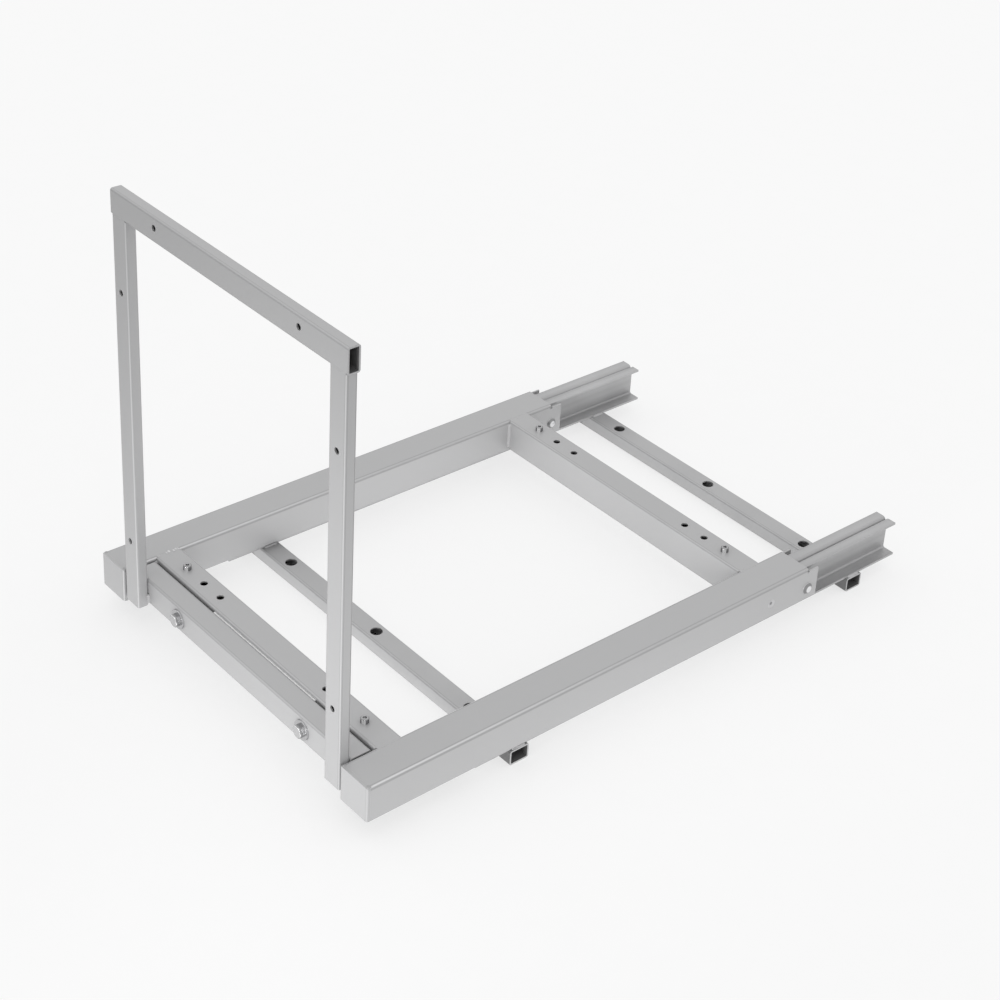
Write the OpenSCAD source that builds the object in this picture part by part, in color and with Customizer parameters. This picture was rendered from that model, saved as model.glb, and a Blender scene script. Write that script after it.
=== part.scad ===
// Pull-out frame for a grain basket: two welded steel channels roll on two fixed
// I-section rails, and an upright front frame carries the cupboard door.
// Millimetres. X runs to the right, Y to the rear, Z up. The origin is on the floor,
// at the centre of the four outer floor screws of the base. The frame is drawn partly
// pulled out; the carriage slides towards -Y.

/* [Base] */
// Length of each running rail
rail_l = 500; // [420:1:650]
// Distance between the two base tubes, centre to centre
base_pitch = 400; // [300:1:450]
// Distance from the rails' front end to the front base tube's centre
base_inset = 44; // [20:1:60]
// Depth of a base tube, front to rear
base_tube_d = 19.5; // [16:0.5:30]
// Height of a base tube
base_tube_h = 14; // [10:0.5:25]
// Wall of the base tubes, crossbars, front tube, posts and top rail
tube_t = 1.5; // [1:0.1:2]
// Outer corner radius of every box tube
tube_r = 2; // [1.2:0.1:3]
// How far a base tube sticks out past the rails on each side
base_overhang = 2; // [0:0.5:10]
// Distance of the outer floor screws from the middle
base_hole_x = 127; // [60:1:140]
// Diameter of the access holes in a base tube's top wall
base_hole_top_dia = 11; // [8:0.1:12]
// Diameter of the floor screw holes in a base tube's bottom wall
base_hole_dia = 5.5; // [4:0.1:7]

/* [Rails] */
// Height of a rail
rail_h = 33.5; // [31:0.5:45]
// Sheet thickness of each of a rail's two halves
rail_t = 2; // [1.5:0.1:2.2]
// Reach of a rail's top flange from its middle plane
flange_top = 11.5; // [10:0.5:14]
// Reach of a rail's bottom flange from its middle plane
flange_low = 14; // [12:0.5:15]
// Outer bend radius of a rail half
rail_r = 4; // [3:0.1:5]

/* [Carriage] */
// Width over the two channels
overall_w = 383; // [340:1:500]
// Length of a channel with its end plate
carriage_l = 496.5; // [450:0.5:600]
// Width of a channel
channel_w = 35; // [34.5:0.5:40]
// Height of a channel
channel_h = 32; // [28:0.5:34]
// Sheet thickness of a channel
channel_t = 1.5; // [1:0.1:1.6]
// Outer bend radius of a channel
channel_r = 3; // [2:0.1:5]
// Gap between a rail's top and the sheet of the channel above it
head_gap = 1.5; // [1:0.1:4]
// Length of the cut in a channel's top at its rear end
rear_cut = 13; // [10:0.5:18]
// Thickness of a channel's front end plate
end_plate_t = 3; // [1.5:0.1:4]
// Radius of an end plate's ground upright edges
end_plate_r = 2.5; // [0.5:0.1:3]
// How far the carriage stands forward of the rails as drawn
rest_pull = 108; // [20:1:300]

/* [Crossbars] */
// Depth of a crossbar, front to rear
crossbar_d = 25; // [20:0.5:28]
// Distance from the carriage's front end to the front crossbar's rear face
front_bar_rear = 57.5; // [57:0.5:80]
// Distance from the carriage's rear end to the rear crossbar's rear face
rear_bar_inset = 42; // [38:0.5:80]
// Distance of the inner basket holes from the middle
basket_hole_in = 76; // [40:0.5:84]
// Distance of the outer basket holes from the middle
basket_hole_out = 101; // [96:0.5:110]
// Diameter of a basket hole
basket_hole_dia = 6.6; // [4:0.1:8]
// Distance of the cap screws from the middle
screw_x = 127; // [118:0.5:140]

/* [Front frame] */
// Setback of the posts' front face from the channels' front end
post_setback = 1; // [0:0.1:4]
// Width of a post
post_w = 20; // [15:0.5:25]
// Depth of a post, front to rear
post_d = 10; // [8:0.5:11]
// Height of a post's lower end above the floor
post_z0 = 23.5; // [20:0.5:26]
// Height of the top rail's upper face above the floor
frame_top = 408.5; // [250:0.5:600]
// Height of the top rail
top_rail_h = 22; // [15:0.5:40]
// Depth of the top rail, front to rear
top_rail_d = 11; // [8:0.5:14]
// How far the top rail sticks out past a post
top_rail_overhang = 1; // [0:0.5:10]
// Gap between the front frame and a channel's inner face
frame_side_gap = 2; // [1:0.1:6]
// Depth of the front tube, front to rear
front_tube_d = 20; // [16:0.5:20.5]
// Height of the front tube
front_tube_h = 24; // [20:0.5:26]
// How far the front tube's top lies below the crossbar's
front_tube_drop = 1.8; // [0:0.1:3]
// Distance of the top rail's screw holes from the middle
top_hole_x = 95; // [40:0.5:120]
// Height of the top rail's screw holes above its lower face
top_hole_up = 12.5; // [5:0.5:16]
// Height of the posts' upper screw holes
post_hole_high = 321.5; // [180:0.5:380]
// Height of the left post's lower screw hole
left_hole_low = 87; // [70:0.5:170]
// Height of the right post's lower screw hole
right_hole_low = 95.5; // [70:0.5:170]
// Diameter of the posts' and the top rail's screw holes
post_hole_dia = 5.5; // [3:0.1:7]
// Distance of the clamp bolts from the middle
clamp_x = 89.5; // [86:0.5:110]
// How far the clamp bolts and the top rail's holes are set to the right
bolt_shift = 2.5; // [0:0.5:4]
// Height of the clamp bolts above the front tube's lower face
clamp_up = 12; // [10:0.1:13]
// Length of the spacer bar between front tube and front crossbar
spacer_l = 145; // [40:1:150]
// How far the spacer bar's middle is set to the right
spacer_shift = 7.5; // [0:0.5:8]
// Height of the spacer bar
spacer_h = 16; // [8:0.5:20]

/* [Rollers] */
// Radius of a carriage roller
roller_r = 13; // [8:0.1:13.5]
// Width of every roller
roller_w = 8.5; // [6:0.1:8.7]
// Radius of a front roller, which carries the channel's top sheet
front_roller_r = 14; // [10:0.1:15]
// Radius of every roller axle and stop pin
axle_r = 4; // [3:0.1:4.5]
// Gap left between a roller and its track
roll_gap = 0.3; // [0.2:0.05:0.6]
// Distance of the load rollers from the carriage's rear end
load_inset = 12; // [11:0.5:20]
// Distance of the lift rollers from the carriage's rear end
lift_inset = 58.5; // [50:0.5:90]
// Distance of the front rollers from the rails' front end
front_roller_y = 16; // [16:0.5:24]
// Distance of the stop pins from the rails' front end
stop_pin_y = 42; // [42:0.5:60]
// Radius of the rubber sleeves on the stop pins
sleeve_r = 7; // [5.5:0.1:8]
// Thickness of the rubber buffers behind the end plates
buffer_t = 4; // [3:0.5:10]

/* [Hidden] */
$fn = 64;

// Small play between a shaft and its bore, on the radius
running = 0.05;
// Play between a bolt and its hole, on the radius
bolt_play = 0.2;
// Side play beside a roller
side_play = 0.2;
// Length by which a cutting shape passes the face it cuts
past = 1;

// Places along Y
rail_front = -base_inset - base_pitch / 2;
rail_rear = rail_front + rail_l;
carriage_front = rail_front - rest_pull;
carriage_rear = carriage_front + carriage_l;
post_front = carriage_front + post_setback;
post_rear = post_front + post_d;
front_tube_rear = post_rear + front_tube_d;
front_bar_front = carriage_front + front_bar_rear - crossbar_d;
rear_bar_front = carriage_rear - rear_bar_inset - crossbar_d;
spacer_t = front_bar_front - front_tube_rear;

// Places along Z
rail_top = base_tube_h + rail_h;
channel_top = rail_top + head_gap + channel_t;
channel_z0 = channel_top - channel_h;
track_low = base_tube_h + rail_t;
track_high = rail_top - rail_t;
load_z = track_low + roll_gap + roller_r;
lift_z = track_high - roll_gap - roller_r;
front_roller_z = channel_top - channel_t - roll_gap - front_roller_r;
front_tube_top = channel_top - front_tube_drop;
front_tube_z0 = front_tube_top - front_tube_h;
clamp_z = front_tube_z0 + clamp_up;
spacer_top = front_tube_top - 1;

// Places along X: a slide's own middle plane, and the inner face of a channel
slide_x = overall_w / 2 - channel_w / 2;
inner_face = overall_w / 2 - channel_w;
wall_in = channel_w / 2 - channel_t;
frame_half = inner_face - frame_side_gap;
post_x = frame_half - post_w / 2;
base_tube_l = 2 * (slide_x + flange_low + base_overhang);

// Straight part left on an end plate's sides behind the ground edges
plate_land = 0.5;

// Parts of the axles, measured out from a rail's middle plane
tip_head_t = 0.8;
tip_head_r = axle_r + 1.2;
roller_from = rail_t + tip_head_t + 4 * side_play;
roller_to = roller_from + roller_w;
collar_r = axle_r + 2;
dome_r = 5.5;
dome_h = 3.2;
dimple_r = 3;
dimple_h = 1.2;
front_roller_from = rail_t + 2 * side_play;
front_head_t = 1.5;
front_head_r = axle_r + 1.5;
sleeve_w = 7;

// Cap screws (M4), clamp bolts (M6) and their large washers
screw_r = 2;
screw_l = 12;
screw_head_r = 3.5;
screw_head_h = 4.4;
screw_edge = 0.5;
socket_af = 3;
socket_depth = 2;
clamp_r = 3;
clamp_head_af = 10;
clamp_head_h = 4;
clamp_nut_h = 5;
washer_r = 8.7;
washer_t = 1.6;
buffer_r = 7;
relief_r = 1.5;
chamfer = 0.6;

steel = [0.72, 0.72, 0.73];
bright = [0.85, 0.85, 0.86];
nylon = [0.9, 0.9, 0.87];
rubber = [0.15, 0.15, 0.16];

// A rectangle with round corners, centred
module rounded_rect(w, h, r) {
    square([w - 2 * r, h], center = true);
    square([w, h - 2 * r], center = true);
    for (x = [-1, 1], y = [-1, 1])
        translate([x * (w / 2 - r), y * (h / 2 - r)]) circle(r);
}

// Section of a box tube, centred
module tube_section(w, h) {
    difference() {
        rounded_rect(w, h, tube_r);
        rounded_rect(w - 2 * tube_t, h - 2 * tube_t, tube_r - tube_t + 0.3);
    }
}

// A box tube along X, centred on x, starting at y and z
module tube_x(l, d, h, y, z) {
    translate([-l / 2, y + d / 2, z + h / 2])
        rotate([90, 0, 90]) linear_extrude(l) tube_section(d, h);
}

// An upright box tube between two heights
module tube_z(w, d, x, y, z0, z1) {
    translate([x, y + d / 2, z0]) linear_extrude(z1 - z0) tube_section(w, d);
}

// Moves a shape drawn about a slide's middle plane to the left (-1) or right (1)
// slide, with its own +X turned outwards
module at_slide(side) {
    if (side > 0) translate([slide_x, 0, 0]) children();
    else mirror([1, 0, 0]) translate([slide_x, 0, 0]) children();
}

// Puts a shape drawn along +X on the outer (1) or inner (-1) side of a slide
module half(outer) {
    if (outer > 0) children();
    else mirror([1, 0, 0]) children();
}

// A shape revolved about X, its profile's Y being the distance along X
module about_x(y, z) {
    translate([0, y, z]) rotate([90, 0, 90]) rotate_extrude() children();
}

module disc_x(x0, x1, r, y, z) {
    translate([x0, y, z]) rotate([90, 0, 90]) cylinder(h = x1 - x0, r = r);
}

// A round hole down through a wall
module hole_z(x, y, z0, z1, r) {
    translate([x, y, z0]) cylinder(h = z1 - z0, r = r);
}

// A round hole along Y
module hole_y(x, z, y0, y1, r) {
    translate([x, y0, z]) rotate([-90, 0, 0]) cylinder(h = y1 - y0, r = r);
}

// A bend of 90 degrees: the part of a ring in one quarter
module quarter_ring(r, t, sx, sy) {
    intersection() {
        difference() {
            circle(r);
            circle(r - t);
        }
        translate([sx > 0 ? 0 : -r, sy > 0 ? 0 : -r]) square(r);
    }
}

// Base tube: a box tube across the floor, with access holes above and screw holes below
module base_tube(y_mid) {
    color(steel) difference() {
        tube_x(base_tube_l, base_tube_d, base_tube_h, y_mid - base_tube_d / 2, 0);
        for (x = [-base_hole_x, 0, base_hole_x]) {
            hole_z(x, y_mid, base_tube_h / 2, base_tube_h + past, base_hole_top_dia / 2);
            hole_z(x, y_mid, -past, base_tube_h / 2, base_hole_dia / 2);
        }
    }
}

module front_base_tube() base_tube(-base_pitch / 2);
module rear_base_tube() base_tube(base_pitch / 2);

// Section of a rail half, a channel rolled with a wide bottom flange
module rail_half_section() {
    translate([0, base_tube_h + rail_r]) square([rail_t, rail_h - 2 * rail_r]);
    translate([rail_r, rail_top - rail_t]) square([flange_top - rail_r, rail_t]);
    translate([rail_r, base_tube_h]) square([flange_low - rail_r, rail_t]);
    translate([rail_r, rail_top - rail_r]) quarter_ring(rail_r, rail_t, -1, 1);
    translate([rail_r, base_tube_h + rail_r]) quarter_ring(rail_r, rail_t, -1, -1);
}

// Rail half: back to back with its twin it makes the I-section. Its top flange is cut
// away at the front, where the front rollers reach up to the channel
module rail_half(side, outer) {
    cut_l = front_roller_y + front_roller_r + 2;
    color(steel) at_slide(side) half(outer) difference() {
        translate([0, rail_rear, 0]) rotate([90, 0, 0]) linear_extrude(rail_l) rail_half_section();
        translate([-past, rail_front - past, rail_top - rail_r - 2])
            cube([flange_top + 2 * past, cut_l + past, rail_r + 2 + past]);
        disc_x(-past, rail_t + past, axle_r + running, rail_front + front_roller_y, front_roller_z);
        disc_x(-past, rail_t + past, axle_r + running, rail_front + stop_pin_y, load_z);
    }
}

module left_rail_outer() rail_half(-1, 1);
module left_rail_inner() rail_half(-1, -1);
module right_rail_inner() rail_half(1, -1);
module right_rail_outer() rail_half(1, 1);

// Front axle: a riveted pin through both webs, with a roller on either side
module front_axle(side) {
    y = rail_front + front_roller_y;
    reach = front_roller_from + roller_w + side_play;
    color(bright) at_slide(side) {
        disc_x(-reach - front_head_t, reach + front_head_t, axle_r, y, front_roller_z);
        for (s = [-1, 1])
            disc_x(s > 0 ? reach : -reach - front_head_t, s > 0 ? reach + front_head_t : -reach,
                front_head_r, y, front_roller_z);
    }
}

module left_front_axle() front_axle(-1);
module right_front_axle() front_axle(1);

// Stop pin: a riveted pin through both webs, which the lift rollers meet at full travel
module stop_pin(side) {
    y = rail_front + stop_pin_y;
    reach = rail_t + side_play + sleeve_w + side_play;
    color(bright) at_slide(side) {
        disc_x(-reach - front_head_t, reach + front_head_t, axle_r, y, load_z);
        for (s = [-1, 1])
            disc_x(s > 0 ? reach : -reach - front_head_t, s > 0 ? reach + front_head_t : -reach,
                front_head_r, y, load_z);
    }
}

module left_stop_pin() stop_pin(-1);
module right_stop_pin() stop_pin(1);

// Stop sleeves: two rubber rings on a stop pin, one on either side of the web
module stop_sleeves(side) {
    y = rail_front + stop_pin_y;
    from = rail_t + side_play;
    color(rubber) at_slide(side) for (s = [-1, 1]) half(s) difference() {
        disc_x(from, from + sleeve_w, sleeve_r, y, load_z);
        disc_x(from - past, from + sleeve_w + past, axle_r + running, y, load_z);
    }
}

module left_stop_sleeves() stop_sleeves(-1);
module right_stop_sleeves() stop_sleeves(1);

// Roller: a nylon wheel with a sunk face on each side and broken edges
module roller(r, from, y, z) {
    sunk = 1;
    rim = 2.5;
    hub = axle_r + 2.5;
    color(nylon) about_x(y, z) difference() {
        polygon([[axle_r + running, from], [r - chamfer, from], [r, from + chamfer],
            [r, from + roller_w - chamfer], [r - chamfer, from + roller_w],
            [axle_r + running, from + roller_w]]);
        translate([hub, from - past]) square([r - rim - hub, past + sunk]);
        translate([hub, from + roller_w - sunk]) square([r - rim - hub, past + sunk]);
    }
}

// Front roller: turns on the rail's axle and carries the channel's top sheet
module front_roller(side, outer) {
    at_slide(side) half(outer)
        roller(front_roller_r, front_roller_from, rail_front + front_roller_y, front_roller_z);
}

module left_front_roller_outer() front_roller(-1, 1);
module left_front_roller_inner() front_roller(-1, -1);
module right_front_roller_inner() front_roller(1, -1);
module right_front_roller_outer() front_roller(1, 1);

// Load roller: runs on the rail's bottom flange at the carriage's rear end
module load_roller(side, outer) {
    at_slide(side) half(outer)
        roller(roller_r, roller_from, carriage_rear - load_inset, load_z);
}

module left_load_roller_outer() load_roller(-1, 1);
module left_load_roller_inner() load_roller(-1, -1);
module right_load_roller_inner() load_roller(1, -1);
module right_load_roller_outer() load_roller(1, 1);

// Lift roller: runs under the rail's top flange and stops the carriage from tipping
module lift_roller(side, outer) {
    at_slide(side) half(outer)
        roller(roller_r, roller_from, carriage_rear - lift_inset, lift_z);
}

module left_lift_roller_outer() lift_roller(-1, 1);
module left_lift_roller_inner() lift_roller(-1, -1);
module right_lift_roller_inner() lift_roller(1, -1);
module right_lift_roller_outer() lift_roller(1, 1);

// Profile of a stub axle, from its tip head over journal and collar into the wall
module stub_profile() {
    translate([0, roller_from - side_play - tip_head_t]) square([tip_head_r, tip_head_t]);
    translate([0, roller_from - side_play])
        square([axle_r, wall_in + channel_t - roller_from + side_play]);
    translate([0, roller_to + side_play]) square([collar_r, wall_in - roller_to - side_play]);
}

// Load axles: stub axles with a domed head outside the wall
module load_axles(side) {
    ball_r = (dome_r * dome_r + dome_h * dome_h) / (2 * dome_h);
    color(bright) at_slide(side) for (s = [-1, 1]) half(s)
        about_x(carriage_rear - load_inset, load_z) {
            stub_profile();
            intersection() {
                translate([0, channel_w / 2]) square([dome_r, dome_h]);
                translate([0, channel_w / 2 + dome_h - ball_r]) circle(ball_r);
            }
        }
}

module left_load_axles() load_axles(-1);
module right_load_axles() load_axles(1);

// Lift axles: stub axles riveted flush with the wall, so a crossbar can lie over them
module lift_axles(side) {
    color(bright) at_slide(side) for (s = [-1, 1]) half(s)
        about_x(carriage_rear - lift_inset, lift_z) difference() {
            stub_profile();
            polygon([[0, channel_w / 2 - dimple_h], [dimple_r, channel_w / 2], [0, channel_w / 2]]);
        }
}

module left_lift_axles() lift_axles(-1);
module right_lift_axles() lift_axles(1);

// Section of a channel: an inverted U with bent edges
module channel_section() {
    for (s = [-1, 1]) {
        translate([s * (channel_w - channel_t) / 2 - channel_t / 2, channel_z0])
            square([channel_t, channel_h - channel_r]);
        translate([s * (channel_w / 2 - channel_r), channel_top - channel_r])
            quarter_ring(channel_r, channel_t, s, 1);
    }
    translate([-channel_w / 2 + channel_r, channel_top - channel_t])
        square([channel_w - 2 * channel_r, channel_t]);
}

// Channel: folded sheet over the rail, its top cut back at the rear end
module channel(side) {
    l = carriage_l - end_plate_t;
    cut_y = carriage_rear - rear_cut;
    cut_z = channel_top - channel_r;
    color(steel) at_slide(side) difference() {
        translate([0, carriage_rear, 0]) rotate([90, 0, 0]) linear_extrude(l) channel_section();
        translate([-channel_w / 2 - past, cut_y, cut_z])
            cube([channel_w + 2 * past, rear_cut + past, channel_r + past]);
        disc_x(-channel_w / 2 - past, channel_w / 2 + past, relief_r, cut_y, cut_z);
        disc_x(-channel_w / 2 - past, channel_w / 2 + past, axle_r + running,
            carriage_rear - load_inset, load_z);
        disc_x(-channel_w / 2 - past, channel_w / 2 + past, axle_r + running,
            carriage_rear - lift_inset, lift_z);
    }
}

module left_channel() channel(-1);
module right_channel() channel(1);

// End plate: closes a channel's front end and has the channel's own outline,
// with its two upright front edges ground round
module end_plate(side) {
    edge_r = min(end_plate_r, end_plate_t - plate_land);
    color(steel) at_slide(side) intersection() {
        translate([0, carriage_front + end_plate_t, 0])
            rotate([90, 0, 0]) linear_extrude(end_plate_t) {
                translate([-channel_w / 2, channel_z0])
                    square([channel_w, channel_h - channel_r]);
                translate([-channel_w / 2 + channel_r, channel_z0])
                    square([channel_w - 2 * channel_r, channel_h]);
                for (s = [-1, 1])
                    translate([s * (channel_w / 2 - channel_r), channel_top - channel_r])
                        circle(channel_r);
            }
        translate([0, carriage_front, channel_z0]) linear_extrude(channel_h) {
            translate([-channel_w / 2, edge_r]) square([channel_w, end_plate_t - edge_r]);
            translate([-channel_w / 2 + edge_r, 0])
                square([channel_w - 2 * edge_r, end_plate_t]);
            for (s = [-1, 1])
                translate([s * (channel_w / 2 - edge_r), edge_r]) circle(edge_r);
        }
    }
}

module left_end_plate() end_plate(-1);
module right_end_plate() end_plate(1);

// Buffer: a rubber pad behind the end plate, which the rail's end meets when shut
module buffer(side) {
    color(rubber) at_slide(side)
        translate([0, carriage_front + end_plate_t, (track_low + track_high) / 2])
            rotate([-90, 0, 0]) cylinder(h = buffer_t, r = buffer_r);
}

module left_buffer() buffer(-1);
module right_buffer() buffer(1);

// Crossbar: a box tube welded between the channels, drilled for the basket
module crossbar(y) {
    y_mid = y + crossbar_d / 2;
    difference() {
        tube_x(2 * inner_face, crossbar_d, channel_h, y, channel_z0);
        for (s = [-1, 1]) {
            for (x = [basket_hole_in, basket_hole_out])
                hole_z(s * x, y_mid, channel_top - channel_h / 2, channel_top + past,
                    basket_hole_dia / 2);
            hole_z(s * screw_x, y_mid, channel_top - channel_h / 2, channel_top + past,
                screw_r + running);
        }
    }
}

// Front crossbar: also holds the clamp bolts of the front frame in its front wall
module front_crossbar() {
    color(steel) difference() {
        crossbar(front_bar_front);
        for (s = [-1, 1])
            hole_y(s * clamp_x + bolt_shift, clamp_z, front_bar_front - past,
                front_bar_front + tube_t + past, clamp_r + bolt_play);
    }
}

module rear_crossbar() color(steel) crossbar(rear_bar_front);

// Cap screw: tall round head with a hexagon socket, set into a crossbar's top wall
module cap_screw(x, y) {
    translate([x, y, channel_top]) difference() {
        rotate_extrude() polygon([[0, -screw_l], [screw_r, -screw_l], [screw_r, 0],
            [screw_head_r, 0], [screw_head_r, screw_head_h - screw_edge],
            [screw_head_r - screw_edge, screw_head_h], [0, screw_head_h]]);
        translate([0, 0, screw_head_h - socket_depth])
            cylinder(h = socket_depth + past, r = socket_af / sqrt(3), $fn = 6);
    }
}

module crossbar_screws() {
    color(bright) for (s = [-1, 1], y = [front_bar_front, rear_bar_front])
        cap_screw(s * screw_x, y + crossbar_d / 2);
}

// Front tube: carries the posts and is clamped to the front crossbar
module front_tube() {
    color(steel) difference() {
        tube_x(2 * frame_half, front_tube_d, front_tube_h, post_rear, front_tube_z0);
        for (s = [-1, 1])
            hole_y(s * clamp_x + bolt_shift, clamp_z, post_rear - past, front_tube_rear + past,
                clamp_r + bolt_play);
    }
}

// Post: an upright box tube welded to the front tube's face, drilled for the door
module post(x, hole_low) {
    color(steel) difference() {
        tube_z(post_w, post_d, x, post_front, post_z0, frame_top - top_rail_h);
        for (z = [hole_low, post_hole_high])
            hole_y(x, z, post_front - past, post_rear + past, post_hole_dia / 2);
    }
}

module left_post() post(-post_x, left_hole_low);
module right_post() post(post_x, right_hole_low);

// Top rail: a box tube on edge across the posts, open at both ends
module top_rail() {
    z0 = frame_top - top_rail_h;
    color(steel) difference() {
        tube_x(2 * (frame_half + top_rail_overhang), top_rail_d, top_rail_h, post_front, z0);
        for (s = [-1, 1])
            hole_y(s * top_hole_x + bolt_shift, z0 + top_hole_up, post_front - past,
                post_front + top_rail_d + past, post_hole_dia / 2);
    }
}

// Spacer bar: flat steel that fills the gap between front tube and front crossbar,
// between the two clamp bolts
module spacer_bar() {
    color(bright) translate([spacer_shift - spacer_l / 2, front_tube_rear, spacer_top - spacer_h])
        cube([spacer_l, spacer_t, spacer_h]);
}

// A hexagon prism along Y, with its corners turned down on the face towards -Y
module hexagon(x, z, y0, y1, af) {
    corner_r = af / sqrt(3);
    intersection() {
        translate([x, y0, z]) rotate([-90, 0, 0]) cylinder(h = y1 - y0, r = corner_r, $fn = 6);
        translate([x, y0, z]) rotate([-90, 0, 0])
            cylinder(h = y1 - y0, r1 = af / 2 - 0.2, r2 = af / 2 - 0.2 + (y1 - y0) * 1.7);
    }
}

// Clamp bolts: hexagon bolts through the front tube and the crossbar's front wall
module clamp_bolts() {
    head_rear = post_rear - washer_t;
    tip = front_bar_front + tube_t + clamp_nut_h + 2;
    color(bright) for (s = [-1, 1]) {
        hexagon(s * clamp_x + bolt_shift, clamp_z, head_rear - clamp_head_h, head_rear,
            clamp_head_af);
        hole_y(s * clamp_x + bolt_shift, clamp_z, head_rear - clamp_head_h / 2, tip, clamp_r);
    }
}

module clamp_washers() {
    color(bright) for (s = [-1, 1]) difference() {
        hole_y(s * clamp_x + bolt_shift, clamp_z, post_rear - washer_t, post_rear, washer_r);
        hole_y(s * clamp_x + bolt_shift, clamp_z, post_rear - washer_t - past,
            post_rear + past, clamp_r + bolt_play);
    }
}

// Clamp nuts: welded inside the front crossbar, behind its front wall
module clamp_nuts() {
    y0 = front_bar_front + tube_t;
    color(bright) for (s = [-1, 1]) difference() {
        hexagon(s * clamp_x + bolt_shift, clamp_z, y0, y0 + clamp_nut_h, clamp_head_af);
        hole_y(s * clamp_x + bolt_shift, clamp_z, y0 - past, y0 + clamp_nut_h + past,
            clamp_r + running);
    }
}

front_base_tube();
rear_base_tube();
left_rail_outer();
left_rail_inner();
right_rail_inner();
right_rail_outer();
left_front_axle();
right_front_axle();
left_stop_pin();
right_stop_pin();
left_stop_sleeves();
right_stop_sleeves();
left_front_roller_outer();
left_front_roller_inner();
right_front_roller_inner();
right_front_roller_outer();
left_channel();
right_channel();
left_end_plate();
right_end_plate();
left_buffer();
right_buffer();
front_crossbar();
rear_crossbar();
crossbar_screws();
left_load_axles();
left_lift_axles();
right_load_axles();
right_lift_axles();
left_load_roller_outer();
left_load_roller_inner();
right_load_roller_inner();
right_load_roller_outer();
left_lift_roller_outer();
left_lift_roller_inner();
right_lift_roller_inner();
right_lift_roller_outer();
front_tube();
left_post();
right_post();
top_rail();
spacer_bar();
clamp_bolts();
clamp_washers();
clamp_nuts();
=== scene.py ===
# The pull-out frame of a grain basket, seen from its front right corner and from above.
# Metres. X runs to the right, Y to the rear, Z up; the origin is on the cupboard floor.
import math
import random
import bpy
from mathutils import Matrix, Vector


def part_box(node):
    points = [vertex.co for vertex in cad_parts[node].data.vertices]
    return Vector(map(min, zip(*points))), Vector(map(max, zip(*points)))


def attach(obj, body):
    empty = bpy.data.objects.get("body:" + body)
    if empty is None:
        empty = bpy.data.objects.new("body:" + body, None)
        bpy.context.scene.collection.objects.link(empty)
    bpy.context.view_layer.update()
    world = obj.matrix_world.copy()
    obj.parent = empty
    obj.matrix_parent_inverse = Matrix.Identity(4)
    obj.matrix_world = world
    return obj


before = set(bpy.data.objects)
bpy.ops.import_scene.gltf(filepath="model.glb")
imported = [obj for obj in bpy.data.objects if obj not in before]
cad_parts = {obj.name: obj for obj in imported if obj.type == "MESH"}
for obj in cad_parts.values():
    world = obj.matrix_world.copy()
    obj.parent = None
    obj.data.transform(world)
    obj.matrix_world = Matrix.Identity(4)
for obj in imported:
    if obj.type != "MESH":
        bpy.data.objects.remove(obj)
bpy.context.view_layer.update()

# Camera: solved from the photograph's straight edges, a long lens shifted off its centre.
# The matrix's columns are its right, its up, the way back from the object and its place.
camera = bpy.data.objects.new("camera", bpy.data.cameras.new("camera"))
bpy.context.scene.collection.objects.link(camera)
camera.data.sensor_width = 36
camera.data.lens = 75.0647
camera.data.shift_x = -0.067850
camera.data.shift_y = -0.204645
camera.matrix_world = Matrix((
    (0.6594368, -0.3819673, 0.6474906, 1.1520265),
    (0.7489505, 0.2594120, -0.6097365, -1.0895121),
    (0.0649325, 0.8870211, 0.4571404, 1.0938206),
    (0, 0, 0, 1)))
bpy.context.scene.camera = camera
bpy.context.scene.view_settings.view_transform = "Standard"


# Studio floor: a bright white board under the frame, which keeps the frame's soft shadow. For light that
# bounces, the board's middle also glows round the frame: a painted fill light on the frame from below. Past
# the board's edge the studio floor throws back little light.
def node(tree, kind, **sockets):
    # Sockets go by name, or by number as i0 and i1.
    made = tree.nodes.new("ShaderNode" + kind)
    for name, value in sockets.items():
        socket = made.inputs[int(name[1:])] if name[0] == "i" and name[1:].isdigit() \
            else made.inputs[name.replace("_", " ")]
        if isinstance(value, bpy.types.NodeSocket):
            tree.links.new(value, socket)
        else:
            socket.default_value = value
    return made


def math_node(tree, operation, *values, clamp=False):
    made = tree.nodes.new("ShaderNodeMath")
    made.operation = operation
    made.use_clamp = clamp
    for socket, value in zip(made.inputs, values):
        if isinstance(value, bpy.types.NodeSocket):
            tree.links.new(value, socket)
        else:
            socket.default_value = value
    return made.outputs[0]


def empty_material(name):
    material = bpy.data.materials.new(name)
    material.use_nodes = True
    material.node_tree.nodes.clear()
    return material, material.node_tree


def mesh_object(name, vertices, faces, material, smooth=True):
    mesh = bpy.data.meshes.new(name)
    mesh.from_pydata(vertices, [], faces)
    mesh.validate()
    mesh.update()
    made = bpy.data.objects.new(name, mesh)
    bpy.context.scene.collection.objects.link(made)
    mesh.materials.append(material)
    if smooth:
        mesh.polygons.foreach_set("use_smooth", [True] * len(mesh.polygons))
    return made


floor_half = 6.0
floor_drop = -0.0005
board_radius = 0.95
board_fade = 0.15
shine_radius = 0.1
shine_reach = 0.72
shine_centre = (-0.06, -0.15, 0)
board_shine = 1.12
floor_glow = 0.645
floor_shade = (0.295, 0.305)
board_bounce = (0.8, 0.12)
fibre_scale = 35.0
board, tree = empty_material("studio_board")
coords = node(tree, "TexCoord").outputs["Object"]
fibres = node(tree, "TexNoise", Vector=coords, Scale=fibre_scale, Detail=4.0)
shade = node(tree, "MapRange", Value=fibres.outputs["Fac"], To_Min=floor_shade[0], To_Max=floor_shade[1])
seen = node(tree, "BsdfDiffuse", Color=shade.outputs[0])
glow = node(tree, "Emission", Color=(1, 1, 1, 1), Strength=floor_glow)
lit = node(tree, "AddShader", i0=seen.outputs[0], i1=glow.outputs[0])
away = node(tree, "VectorMath", i0=coords)
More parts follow.
